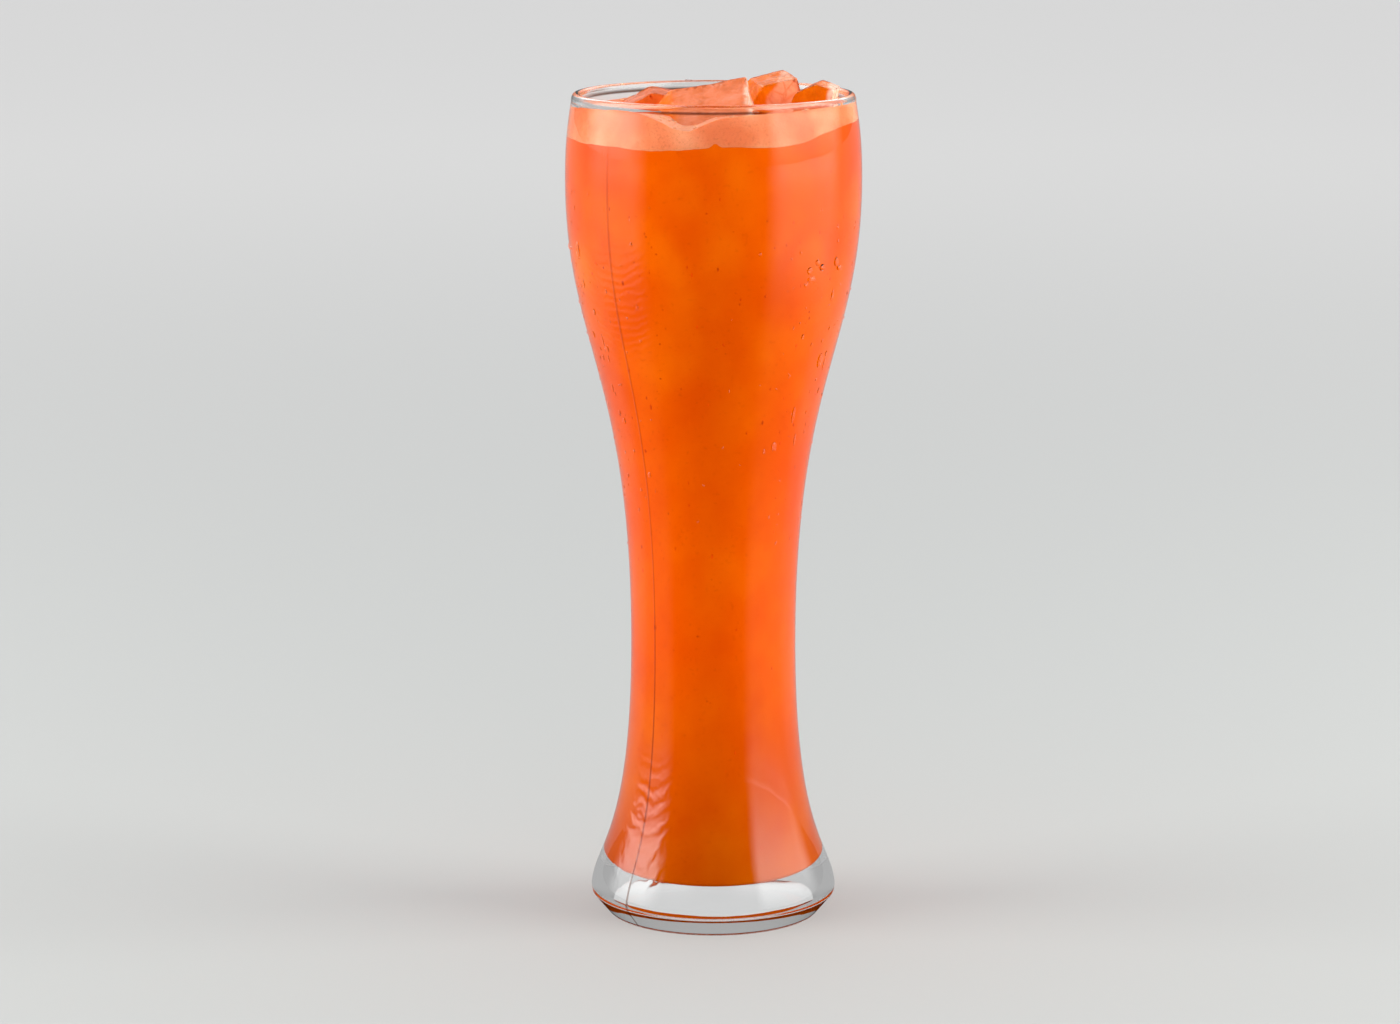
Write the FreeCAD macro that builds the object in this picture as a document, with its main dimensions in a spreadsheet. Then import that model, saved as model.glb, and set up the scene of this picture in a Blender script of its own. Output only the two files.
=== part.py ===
"""Tall wheat-beer glass filled with carrot juice: juice, a layer of froth and four lumps of ice.

Millimetres, +Z up. The origin is the middle of the ring that the glass stands on, and a level is a
height above that ring. A turned piece is drawn as the right half of its section, in radius and level.
"""
import FreeCAD
import Part
import Sketcher
import math
import os
import re

GLASS_SIZES = {
    "glass_height": (232.0, "table to rim"),
    "rim_radius": (39.1, "outside of the glass at the lip"),
    "lip_width": (2.4, "thickness of the rounded lip"),
    "rim_curl": (3.6, "height of the last stretch of wall under the lip"),
    "rim_lean": (0.5, "how far the wall leans in over that stretch"),
    "bowl_radius": (41.05, "outside of the glass at its widest"),
    "bowl_below_rim": (24.0, "depth of the widest level below the rim"),
    "bowl_wall": (2.7, "wall at the widest level"),
    "bowl_shoulder": (13.0, "pull of the widest level on the curve above it"),
    "bowl_pull": (0.358, "pull of the widest level on the curve below it, as a share of that curve's height"),
    "waist_radius": (23.15, "outside of the glass at its narrowest"),
    "waist_level": (79.0, "height of the narrowest level"),
    "waist_wall": (3.2, "wall at the narrowest level"),
    "waist_pull": (0.582, "pull of the waist on the curve above it, as a share of that curve's height"),
    "stem_pull": (0.782, "pull of the waist on the curve below it, as a share of that curve's height"),
    "foot_radius": (34.6, "outside of the foot at its widest"),
    "foot_level": (7.6, "height of the foot's widest level"),
    "foot_rise": (11.0, "pull of the foot on the curve above it"),
    "foot_lean": (1.5, "how far the foot's side leans in over that rise"),
    "foot_round": (2.0, "drop of the foot's rounded edge"),
    "bevel_radius": (34.0, "outside of the bevel under the foot, at its upper edge"),
    "bevel_level": (5.2, "height of the bevel's upper edge"),
    "stand_radius": (29.7, "outside of the ring that the glass stands on"),
    "stand_width": (4.5, "width of that ring"),
    "punt_depth": (0.8, "height of the hollow under the foot"),
    "floor_level": (12.0, "height of the floor inside"),
    "floor_corner": (1.2, "radius of the corner between floor and wall"),
    "well_radius": (24.0, "inside of the glass just above that corner"),
    "well_pull": (0.4, "pull of corner and waist on the wall between them, as a share of its height"),
}

DRINK_SIZES = {
    "juice_below_rim": (10.9, "depth of the juice's top at the middle"),
    "juice_tilt": (3.1, "slope of the juice's top in degrees, up towards +X"),
    "foam_below_rim": (3.8, "depth of the foam's top at the middle"),
    "foam_tilt": (1.9, "slope of the foam's top in degrees, up towards +X"),
    "ice_gap": (0.4, "room between the ice and the glass"),
    "ice_reach": (36.3, "radius of the circle that the lumps fill at the sizes given here"),
    "ice_taper": (5.0, "draft of a lump's sides in degrees"),
    "ice_round": (1.6, "radius of a lump's melted edges"),
}

# A lump is a block with draft, lying on its base before it is turned. Its fields are the block's width,
# depth and rise, the facet broken off its top left edge, the place of its base's middle (sink is the
# depth below the rim), and its turn about Z, Y and X in degrees.
LUMP_FIELDS = ("width", "depth", "rise", "facet", "x", "y", "sink", "yaw", "pitch", "roll")
LUMPS = {
    "ice_1": (21.0, 18.0, 20.0, 7.0, -20.0, 7.5, 19.0, 4.0, 12.0, 4.0),
    "ice_2": (29.0, 26.0, 16.0, 5.0, -0.5, -16.0, 15.4, 0.0, -10.0, 31.0),
    "ice_3": (17.5, 18.0, 17.0, 4.0, 18.0, 12.0, 13.4, 14.0, -13.0, 5.0),
    "ice_4": (13.0, 14.0, 15.0, 4.5, 25.0, -6.8, 10.4, -12.0, 18.0, 2.0),
}

BOWL_LEVEL = "(glass_height - bowl_below_rim)"
LIP_LEVEL = "(glass_height - lip_width / 2)"
NECK_RADIUS = "(waist_radius - waist_wall)"
BULGE_RADIUS = "(bowl_radius - bowl_wall)"
MOUTH_RADIUS = "(rim_radius - lip_width)"
CORNER_LEVEL = "(floor_level + floor_corner)"
ABOVE_WAIST = f"({BOWL_LEVEL} - waist_level)"
BELOW_WAIST = "(waist_level - foot_level)"
WELL_HEIGHT = f"(waist_level - {CORNER_LEVEL})"
CURL_LEVEL = f"({LIP_LEVEL} - rim_curl)"

# The named points of the section, each a radius and a level. What stands between two points on the
# outside has its twin on the inside: waist and neck, bowl and bulge, lip_out and lip_in.
SECTION = {
    "punt_top": ("0", "punt_depth"),
    "punt_side": ("(stand_radius - stand_width) * 0.6", "punt_depth"),
    "stand_in": ("stand_radius - stand_width", "0"),
    "stand_out": ("stand_radius", "0"),
    "bevel": ("bevel_radius", "bevel_level"),
    "foot_under": ("foot_radius", "foot_level - foot_round"),
    "foot": ("foot_radius", "foot_level"),
    "foot_above": ("foot_radius - foot_lean", "foot_level + foot_rise"),
    "waist_below": ("waist_radius", f"waist_level - stem_pull * {BELOW_WAIST}"),
    "waist": ("waist_radius", "waist_level"),
    "waist_above": ("waist_radius", f"waist_level + waist_pull * {ABOVE_WAIST}"),
    "bowl_below": ("bowl_radius", f"{BOWL_LEVEL} - bowl_pull * {ABOVE_WAIST}"),
    "bowl": ("bowl_radius", BOWL_LEVEL),
    "bowl_above": ("bowl_radius", f"{BOWL_LEVEL} + bowl_shoulder"),
    "curl_out": ("rim_radius + rim_lean", CURL_LEVEL),
    "lip_out": ("rim_radius", LIP_LEVEL),
    "lip_middle": ("rim_radius - lip_width / 2", LIP_LEVEL),
    "lip_in": (MOUTH_RADIUS, LIP_LEVEL),
    "curl_in": (f"{MOUTH_RADIUS} + rim_lean", CURL_LEVEL),
    "bulge_above": (BULGE_RADIUS, f"{BOWL_LEVEL} + bowl_shoulder"),
    "bulge": (BULGE_RADIUS, BOWL_LEVEL),
    "bulge_below": (BULGE_RADIUS, f"{BOWL_LEVEL} - bowl_pull * {ABOVE_WAIST}"),
    "neck_above": (NECK_RADIUS, f"waist_level + waist_pull * {ABOVE_WAIST}"),
    "neck": (NECK_RADIUS, "waist_level"),
    "neck_below": (NECK_RADIUS, f"waist_level - well_pull * {WELL_HEIGHT}"),
    "well_above": ("well_radius", f"{CORNER_LEVEL} + well_pull * {WELL_HEIGHT}"),
    "well": ("well_radius", CORNER_LEVEL),
    "corner_middle": ("well_radius - floor_corner", CORNER_LEVEL),
    "floor_edge": ("well_radius - floor_corner", "floor_level"),
    "floor": ("0", "floor_level"),
    "brim": ("0", LIP_LEVEL),
}

OUTSIDE = (
    ("punt_top", "punt_side", "stand_in"),
    ("stand_in", "stand_out"),
    ("stand_out", "bevel"),
    ("bevel", "foot_under", "foot"),
    ("foot", "foot_above", "waist_below", "waist"),
    ("waist", "waist_above", "bowl_below", "bowl"),
    ("bowl", "bowl_above", "curl_out", "lip_out"),
)
INSIDE = (
    ("lip_in", "curl_in", "bulge_above", "bulge"),
    ("bulge", "bulge_below", "neck_above", "neck"),
    ("neck", "neck_below", "well_above", "well"),
    ("floor_edge", "floor"),
)

# The lumps keep their own sizes in this glass, and shrink or grow as one group with its mouth.
ICE_SCALE = f"(min({BULGE_RADIUS}; {MOUTH_RADIUS}) - ice_gap) / ice_reach"

CUTTER_REACH = "bowl_radius * 1.5"


def formula(text):
    """The text as an expression, with every size name read from the sheet."""
    return re.sub(r"\b[a-z]+(_[a-z0-9]+)+\b", r"Sizes.\g<0>", text)


def fill_sheet(doc):
    """Put every driving size in the sheet, one row each: name, number, meaning."""
    sheet = doc.addObject("Spreadsheet::Sheet", "Sizes")
    rows = [(name, value, note) for name, (value, note) in {**GLASS_SIZES, **DRINK_SIZES}.items()]
    for lump, numbers in LUMPS.items():
        rows += [(f"{lump}_{field}", value, f"{field} of {lump}") for field, value in zip(LUMP_FIELDS, numbers)]
    for row, (name, value, note) in enumerate(rows, start=1):
        sheet.set(f"A{row}", name)
        sheet.set(f"B{row}", str(value))
        sheet.set(f"C{row}", note)
        sheet.setAlias(f"B{row}", name)
    doc.recompute()
    return sheet


def new_body(doc, label):
    body = doc.addObject("PartDesign::Body", label)
    body.Label = label
    return body


def new_sketch(body, name, plane_role):
    sketch = body.newObject("Sketcher::SketchObject", name)
    plane = next(feature for feature in body.Origin.OriginFeatures if feature.Role == plane_role)
    sketch.AttachmentSupport = (plane, [""])
    sketch.MapMode = "FlatFace"
    return sketch


def place_of(sheet, point):
    """Where a point, given as two texts, lies at the sizes in the sheet."""
    return FreeCAD.Vector(*(float(sheet.evalExpression(formula(text))) for text in point), 0)


def pin(sketch, sheet, geometry, end, name, point, axes="XY"):
    """Hold one end or middle of a sketch curve at a named point, bound to the sheet."""
    place = place_of(sheet, point)
    for axis, value, text in zip("XY", place, point):
        if axis in axes:
            constraint = Sketcher.Constraint(f"Distance{axis}", -1, 1, geometry, end, value)
            index = sketch.addConstraint(constraint)
            label = f"{name}_{axis}_{index}"
            sketch.renameConstraint(index, label)
            sketch.setExpression(f"Constraints.{label}", formula(text))


def draw_path(sketch, sheet, names, points):
    """A straight line through two named points, or one smooth curve pulled by the points between."""
    places = [place_of(sheet, points[name]) for name in names]
    if len(names) == 2:
        line = sketch.addGeometry(Part.LineSegment(*places), False)
        pin(sketch, sheet, line, 1, names[0], points[names[0]])
        pin(sketch, sheet, line, 2, names[1], points[names[1]])
        return
    degree = len(names) - 1
    curve = Part.BSplineCurve()
    curve.buildFromPolesMultsKnots(places, [degree + 1, degree + 1], [0.0, 1.0], False, degree)
    spline = sketch.addGeometry(curve, False)
    sketch.exposeInternalGeometry(spline)
    for offset, name in enumerate(names, start=1):
        pin(sketch, sheet, spline + offset, 3, name, points[name])


def draw_arc(sketch, sheet, start, middle, end, points, angles):
    """A round from start to end, counterclockwise about its middle."""
    centre = place_of(sheet, points[middle])
    radius = centre.distanceToPoint(place_of(sheet, points[start]))
    circle = Part.Circle(centre, FreeCAD.Vector(0, 0, 1), radius)
    arc = sketch.addGeometry(Part.ArcOfCircle(circle, *angles), False)
    pin(sketch, sheet, arc, 1, start, points[start])
    pin(sketch, sheet, arc, 2, end, points[end])
    pin(sketch, sheet, arc, 3, middle, points[middle], axes="Y")


def turn(body, sketch, name):
    revolution = body.newObject("PartDesign::Revolution", name)
    revolution.Profile = sketch
    revolution.ReferenceAxis = (sketch, ["V_Axis"])
    revolution.Angle = 360.0
    return revolution


def draw_inside(sketch, sheet):
    """The line where drink and glass meet, from the lip down to the middle of the floor."""
    for path in INSIDE:
        draw_path(sketch, sheet, path, SECTION)
    draw_arc(sketch, sheet, "floor_edge", "corner_middle", "well", SECTION, (-math.pi / 2, 0.0))


def make_glass(doc, sheet):
    body = new_body(doc, "glass")
    sketch = new_sketch(body, "glass_section", "XZ_Plane")
    for path in OUTSIDE:
        draw_path(sketch, sheet, path, SECTION)
    draw_arc(sketch, sheet, "lip_out", "lip_middle", "lip_in", SECTION, (0.0, math.pi))
    draw_inside(sketch, sheet)
    draw_path(sketch, sheet, ("floor", "punt_top"), SECTION)
    turn(body, sketch, "glass_turned")
    doc.recompute()
    return body


def cut_layer(body, sheet, name, depth, tilt, keep_below):
    """Cut the filling along a tilted plane that crosses the axis at a depth below the rim."""
    before = body.Shape.Volume
    sketch = new_sketch(body, f"{name}_plane", "XY_Plane")
    offset = f"placement(vector(0; 0; glass_height - {depth}); rotation(0; -{tilt}; 0))"
    sketch.setExpression("AttachmentOffset", formula(offset))
    reach = float(sheet.evalExpression(formula(CUTTER_REACH)))
    circle = Part.Circle(FreeCAD.Vector(0, 0, 0), FreeCAD.Vector(0, 0, 1), reach)
    disc = sketch.addGeometry(circle, False)
    sketch.addConstraint(Sketcher.Constraint("Coincident", disc, 3, -1, 1))
    index = sketch.addConstraint(Sketcher.Constraint("Radius", disc, reach))
    sketch.setExpression(f"Constraints[{index}]", formula(CUTTER_REACH))
    pocket = body.newObject("PartDesign::Pocket", name)
    pocket.Profile = sketch
    pocket.Type = "ThroughAll"
    pocket.Reversed = keep_below
    body.Document.recompute()
    if not 0 < body.Shape.Volume < before:
        raise RuntimeError(f"{name} took nothing off {body.Label}")


def make_filling(doc, sheet, label):
    """The whole inside of the glass up to the lip, as a body still to be cut to its layer."""
    body = new_body(doc, f"{label}_filling")
    sketch = new_sketch(body, f"{label}_section", "XZ_Plane")
    draw_inside(sketch, sheet)
    draw_path(sketch, sheet, ("floor", "brim"), SECTION)
    draw_path(sketch, sheet, ("brim", "lip_in"), SECTION)
    turn(body, sketch, f"{label}_turned")
    doc.recompute()
    return body


def edge_names(shape, rank, count):
    """The names of the count edges whose middles rank highest."""
    order = sorted(range(len(shape.Edges)), key=lambda i: rank(shape.Edges[i].CenterOfMass), reverse=True)
    return [f"Edge{i + 1}" for i in order[:count]]


def make_lump(doc, sheet, label):
    body = new_body(doc, label)
    half_width = f"{ICE_SCALE} * {label}_width / 2"
    half_depth = f"{ICE_SCALE} * {label}_depth / 2"
    corners = {
        "front_left": (f"-{half_width}", f"-{half_depth}"),
        "front_right": (half_width, f"-{half_depth}"),
        "back_right": (half_width, half_depth),
        "back_left": (f"-{half_width}", half_depth),
    }
    sketch = new_sketch(body, f"{label}_base", "XY_Plane")
    names = list(corners)
    for name, following in zip(names, names[1:] + names[:1]):
        draw_path(sketch, sheet, (name, following), corners)

    block = body.newObject("PartDesign::Pad", f"{label}_block")
    block.Profile = sketch
    block.setExpression("Length", formula(f"{ICE_SCALE} * {label}_rise"))
    block.setExpression("TaperAngle", formula("-ice_taper"))
    doc.recompute()

    facet = body.newObject("PartDesign::Chamfer", f"{label}_facet")
    facet.Base = (block, edge_names(block.Shape, lambda middle: middle.z - middle.x, 1))
    facet.setExpression("Size", formula(f"{ICE_SCALE} * {label}_facet"))
    doc.recompute()

    melted = body.newObject("PartDesign::Fillet", f"{label}_melted")
    melted.Base = (facet, edge_names(facet.Shape, lambda middle: middle.z, len(facet.Shape.Edges)))
    melted.setExpression("Radius", formula(f"{ICE_SCALE} * ice_round"))

    x, y, sink = (f"{ICE_SCALE} * {label}_{field}" for field in ("x", "y", "sink"))
    yaw, pitch, roll = (f"{label}_{field}" for field in ("yaw", "pitch", "roll"))
    place = f"placement(vector({x}; {y}; glass_height - {sink}); rotation({yaw}; {pitch}; {roll}))"
    body.setExpression("Placement", formula(place))
    doc.recompute()
    return body


def press_in(doc, label, filling, ice):
    """The filling with the hollows that the lumps of ice press into it."""
    layer = doc.addObject("Part::Cut", label)
    layer.Label = label
    layer.Base = filling
    layer.Tool = ice
    return layer


def make_parts(doc):
    sheet = fill_sheet(doc)
    glass = make_glass(doc, sheet)
    lumps = [make_lump(doc, sheet, label) for label in LUMPS]
    ice = doc.addObject("Part::Compound", "ice_together")
    ice.Links = lumps

    juice_filling = make_filling(doc, sheet, "juice")
    cut_layer(juice_filling, sheet, "juice_top", "juice_below_rim", "juice_tilt", keep_below=True)
    foam_filling = make_filling(doc, sheet, "foam")
    cut_layer(foam_filling, sheet, "foam_top", "foam_below_rim", "foam_tilt", keep_below=True)
    cut_layer(foam_filling, sheet, "foam_bottom", "juice_below_rim", "juice_tilt", keep_below=False)

    juice = press_in(doc, "juice", juice_filling, ice)
    foam = press_in(doc, "foam", foam_filling, ice)
    doc.recompute()
    return [glass, juice, foam, *lumps]


def check(doc, parts):
    failed = [item.Label for item in doc.Objects if {"Invalid", "Error"} & set(item.State)]
    if failed:
        raise RuntimeError(f"failed: {', '.join(failed)}")
    for part in parts:
        if part.Shape.isNull() or not part.Shape.isValid() or len(part.Shape.Solids) != 1:
            raise RuntimeError(f"{part.Label} is not one valid solid")


def main():
    doc = FreeCAD.newDocument("carrot_juice")
    parts = make_parts(doc)
    check(doc, parts)
    os.makedirs("parts", exist_ok=True)
    for part in parts:
        part.Shape.exportStep(f"parts/{part.Label}.step")
        print(f"{part.Label}: {part.Shape.Volume / 1000:.1f} ml")


main()
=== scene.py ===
"""A glass of carrot juice with froth and ice: the looks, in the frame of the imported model.

Shapes are worked out in millimetres and turned into metres by MM. Materials, lamps and the camera
are in metres. A direction round the glass is given by its bearing in degrees: 0 faces the camera
(-Y), and positive turns towards +X. A level is a height above the table.
"""
import math
import random

import bmesh
import bpy
import numpy as np
from mathutils import Euler, Matrix, Vector, noise


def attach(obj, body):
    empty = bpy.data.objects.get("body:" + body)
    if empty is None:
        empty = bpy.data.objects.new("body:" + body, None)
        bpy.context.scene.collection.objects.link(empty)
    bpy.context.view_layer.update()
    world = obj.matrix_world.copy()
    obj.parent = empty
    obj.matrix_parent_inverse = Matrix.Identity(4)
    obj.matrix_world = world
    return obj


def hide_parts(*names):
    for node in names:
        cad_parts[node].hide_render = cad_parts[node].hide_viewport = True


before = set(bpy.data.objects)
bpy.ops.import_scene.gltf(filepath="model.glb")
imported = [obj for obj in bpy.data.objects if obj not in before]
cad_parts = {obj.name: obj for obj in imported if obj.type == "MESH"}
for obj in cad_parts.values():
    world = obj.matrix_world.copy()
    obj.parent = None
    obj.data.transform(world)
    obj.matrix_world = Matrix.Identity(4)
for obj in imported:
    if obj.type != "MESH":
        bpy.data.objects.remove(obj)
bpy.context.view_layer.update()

MM = 0.001
HEIGHT = 232.0          # table to rim

# ---------------------------------------------------------------- the glass's section
# every point is a radius and a level
STAND_IN, STAND_OUT = (25.2, 0.0), (29.7, 0.0)
BEVEL_TOP, FOOT_SIDE = (34.0, 5.2), (34.6, 7.6)
WAIST_OUT, WAIST_IN = (23.15, 79.0), (19.95, 79.0)
BOWL_OUT, BOWL_IN = (41.05, 208.0), (38.35, 208.0)
LIP_OUT, LIP_IN = (39.1, 230.8), (36.7, 230.8)
LIP_CENTRE, LIP_RADIUS = (37.9, 230.8), 1.2
WELL_SIDE = (24.0, 13.2)
CORNER_CENTRE, CORNER_RADIUS = (22.8, 13.2), 1.2
FLOOR_LEVEL = 12.0

# the poles of each curve, up the outside
PUNT = ((0.0, 0.8), (15.1, 0.8), STAND_IN)
STAND = (STAND_IN, STAND_OUT)
BEVEL = (STAND_OUT, BEVEL_TOP)
FOOT_EDGE = (BEVEL_TOP, (34.6, 5.6), FOOT_SIDE)
FOOT = (FOOT_SIDE, (33.1, 18.6), (23.15, 23.17), WAIST_OUT)
BODY = (WAIST_OUT, (23.15, 154.1), (41.05, 161.8), BOWL_OUT)
SHOULDER = (BOWL_OUT, (41.05, 221.0), (39.6, 227.2), LIP_OUT)
# and down the inside
MOUTH = (LIP_IN, (37.2, 227.2), (38.35, 221.0), BOWL_IN)
HOLLOW = (BOWL_IN, (38.35, 161.8), (19.95, 154.1), WAIST_IN)
WELL = (WAIST_IN, (19.95, 52.7), (24.0, 39.5), WELL_SIDE)
FLOOR = ((CORNER_CENTRE[0], FLOOR_LEVEL), (0.0, FLOOR_LEVEL))

# the mould's two seams: where they are, how proud and wide, and the levels that they span
SEAM_BEARINGS = (-44.5, 135.5)
SEAM_RISE, SEAM_WIDTH = 0.07, 0.24
SEAM_FOOT, SEAM_TOP, SEAM_FADE = 5.0, 229.0, 8.0
# the bead at the lip
BEAD_LEVEL, BEAD_HEIGHT, BEAD_OUT, BEAD_IN = 230.6, 0.75, 0.10, 0.22
BEAD_TOP = 231.0

# ---------------------------------------------------------------- the drink
INTO_WALL = 0.12        # how far what fills the glass reaches into the wall

# bearing and level of the line where froth and juice meet, and of the froth's top edge
JUICE_LINE = ((-180, 221.3), (-140, 220.6), (-110, 220.2), (-81, 220.1), (-63, 219.7), (-45, 219.9),
              (-26, 219.4), (-15, 219.8), (-4, 220.5), (6, 220.8), (19, 220.4), (28, 220.4),
              (38, 221.2), (49, 223.0), (64, 224.2), (80, 224.6), (110, 224.0), (145, 222.4),
              (180, 221.3))
FROTH_LINE = ((-180, 228.4), (-120, 227.8), (-85, 228.2), (-60, 229.2), (-42, 229.6), (-31, 229.0),
              (-22, 227.0), (-15, 225.3), (-10, 224.8), (-5, 226.4), (0, 227.8), (10, 228.9),
              (30, 229.6), (60, 229.9), (90, 229.8), (130, 229.0), (180, 228.4))
FROTH_MIDDLE = 228.2

# each lump of ice: width, depth, rise, facet, x, y, sink below the rim, yaw, pitch and roll
LUMPS = {
    "ice_1": (21, 18, 20, 7, -20, 7.5, 19, 4, 12, 4),
    "ice_2": (29, 26, 16, 5, -0.5, -16, 15.4, 0, -10, 31),
    "ice_3": (17.5, 18, 17, 4, 18, 12, 13.4, 14, -13, 5),
    "ice_4": (13, 14, 15, 4.5, 25, -6.8, 10.4, -12, 18, 2),
}
ICE_TAPER = math.radians(5)
ICE_BEVEL, ICE_EDGE = 0.9, 0.9                  # bevel, and the longest edge of the lump's mesh
ICE_SWELL, ICE_PITS, ICE_MELT = 0.45, 0.12, 0.50

# Colours of the ice, in linear light. A lump has a base colour, zones and a seed. A zone is a
# colour and the planes that bound it. A plane is a direction, and the distances along it, in mm, at
# which the zone starts and is full.
# the whitish colour is a painted highlight, used for the zones on ice_2 and ice_4
WHITISH_HIGHLIGHT, PALE = (0.93, 0.60, 0.47), (0.84, 0.33, 0.18)
SALMON, VIVID, DEEP = (0.74, 0.185, 0.075), (0.78, 0.145, 0.002), (0.60, 0.075, 0.001)
ORANGE = (0.74, 0.125, 0.018)
ICE_TONES = {
    "ice_1": (ORANGE, [(DEEP, [((0.348, 0, 1), 214.5, 215.3), ((0.348, 0, 1), 217.3, 216.5)]),
                       (SALMON, [((0.348, 0, 1), 216.9, 217.6), ((1, 0, 0), -14, -11)])], 0.0),
    "ice_2": (SALMON, [(WHITISH_HIGHLIGHT, [((1, 0, 0), 7.6, 9.4)]),
                       (VIVID, [((1, 0, 0.3), 58.0, 54.0)])], 0.31),
    "ice_3": (VIVID, [(PALE, [((1, 0, -0.56), -99.8, -98.6)]),
                      (SALMON, [((1, 0, 0), 22.5, 24.0)])], 0.62),
    "ice_4": (VIVID, [(WHITISH_HIGHLIGHT, [((1, 0, -0.4), -58.5, -57.0)])], 0.93),
}

# ---------------------------------------------------------------- scattered things, and tints
DROPS, FLECKS, BUBBLES = 210, 420, 900          # how many of each are tried
# the drops that stand out: bearing, level, half width and half height
LARGE_DROPS = (
    (-68, 190.5, 1.0, 2.4), (-67, 181.0, 0.5, 1.4), (-62, 173.5, 0.7, 1.0), (-60, 165.0, 0.4, 2.6),
    (45, 188.5, 0.9, 1.0), (48, 187.0, 1.2, 1.1), (41, 186.5, 0.9, 1.2), (42.5, 184.0, 1.5, 0.9),
    (40, 182.6, 0.8, 0.7), (57, 188.0, 1.0, 1.6), (60, 186.0, 1.3, 0.8), (58, 178.5, 0.6, 1.7),
    (62, 169.0, 0.5, 0.7), (60, 160.0, 1.1, 1.9), (66, 158.5, 0.5, 1.6), (47, 145.5, 0.6, 2.4),
    (36, 137.0, 0.9, 1.1), (52, 138.0, 0.5, 1.8), (-57, 143.0, 0.8, 0.9), (-62, 152.0, 0.45, 1.3),
)
DROP_SUNK = 0.05
RIM_DROP_BEARING, RIM_DROP_SIZE = -169.4, (0.95, 0.7, 0.62)
DRY_TURN, DRY_LEVEL = 12, 190                   # above this level, round 0, 90, 180 and -90
FLECK_RISE, FLECK_SUNK = 0.08, 0.05
BUBBLES_WITHIN, BUBBLES_ABOVE = 37.3, 0.2235    # a radius in mm and a level in m
PULP_COLOUR, BUBBLE_COLOUR = (0.66, 0.055, 0.001), (0.97, 0.36, 0.17)
GLASS_TINT, WATER_TINT = (0.985, 0.992, 0.99), (0.99, 0.995, 1.0)
# painted shade: the seam tint darkens a line along each mould seam, and the lip tint darkens a line
# under the lip's bead
SEAM_SHADE_TINT, LIP_SHADE_TINT = (0.30, 0.18, 0.14), (0.26, 0.20, 0.18)

# ---------------------------------------------------------------- the room
# Softboxes that only gloss sees: a strength, then four bearings and four heights in degrees. Each
# one rises from the first to the second, is full up to the third, and ends at the fourth.
SOFTBOXES = (
    (6.0, -124, -100, -76, -50, -16, 28, 74, 88),
    (3.8, 40, 54, 104, 124, -16, 28, 66, 85),
    (2.4, 138, 148, 168, 178, 14, 24, 60, 75),
    (2.4, -178, -168, -148, -138, 14, 24, 60, 75),
)
# name, place, width, power and colour of each lamp, and the point that they all face
LAMPS = (
    ("left", (-1.15, -0.20, 0.36), 0.8, 12.5, (0.95, 1.0, 0.92)),
    ("right", (1.15, -0.15, 0.36), 0.8, 14.5, (0.95, 1.0, 0.92)),
    ("front", (0.1, -1.3, 0.9), 0.7, 1.4, (1, 1, 1)),
)
LAMP_AIM = Vector((0, 0, 0.12))
DOME, BACKGROUND = (0.93, 0.93, 0.93, 1), (0.69, 0.69, 0.69, 1)
# what a ray through the glass sees: the softboxes' share, the light behind, and the least light
THROUGH_GLOSS, THROUGH_BACK, THROUGH_LEAST = 0.035, 0.44, 0.16
FLOOR_NEAR, FLOOR_FAR = (0.495, 0.50, 0.505), (0.75, 0.75, 0.75)
FLOOR_RADIUS, CARD_RADIUS, CARD_LEVEL = 6.0, 14.0, 0.0004
CAMERA_PLACE, CAMERA_DIP = (-0.00375, -1.19276, 0.34202), 10.803
CAMERA_LENS, CAMERA_SENSOR = 111.4, 36.0


# ---------------------------------------------------------------- small helpers
def bezier(poles, steps):
    """Points along a Bezier curve of any degree, both ends included."""
    t = np.linspace(0, 1, steps + 1)[:, None]
    pts = [np.array(p, float)[None, :] * np.ones_like(t) for p in poles]
    while len(pts) > 1:
        pts = [a * (1 - t) + b * t for a, b in zip(pts, pts[1:])]
    return pts[0]


def arc(centre, radius, start, end, steps):
    """Points on an arc in the section's plane; angles in degrees from +radius."""
    a = np.radians(np.linspace(start, end, steps + 1))
    return np.stack([centre[0] + radius * np.cos(a), centre[1] + radius * np.sin(a)], 1)


def chain(*runs):
    """Runs of points joined end to end without doubled points."""
    out = [runs[0]]
    for run in runs[1:]:
        out.append(run[1:])
    return np.concatenate(out)


OUTER = chain(bezier(PUNT, 14), bezier(STAND, 4), bezier(BEVEL, 5), bezier(FOOT_EDGE, 8),
              bezier(FOOT, 60), bezier(BODY, 70), bezier(SHOULDER, 40))
INNER = chain(bezier(MOUTH, 40), bezier(HOLLOW, 70), bezier(WELL, 34),
              arc(CORNER_CENTRE, CORNER_RADIUS, 0, -90, 10), bezier(FLOOR, 8))
# the same walls with closer points, from which radii are read
WALL = chain(bezier(MOUTH, 40), bezier(HOLLOW, 160), bezier(WELL, 80))[::-1]
SIDE = chain(bezier(FOOT, 120), bezier(BODY, 200), bezier(SHOULDER, 40))


def inner_radius(level):
    return np.interp(level, WALL[:, 1], WALL[:, 0])


def outer_radius(level):
    return np.interp(level, SIDE[:, 1], SIDE[:, 0])


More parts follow.
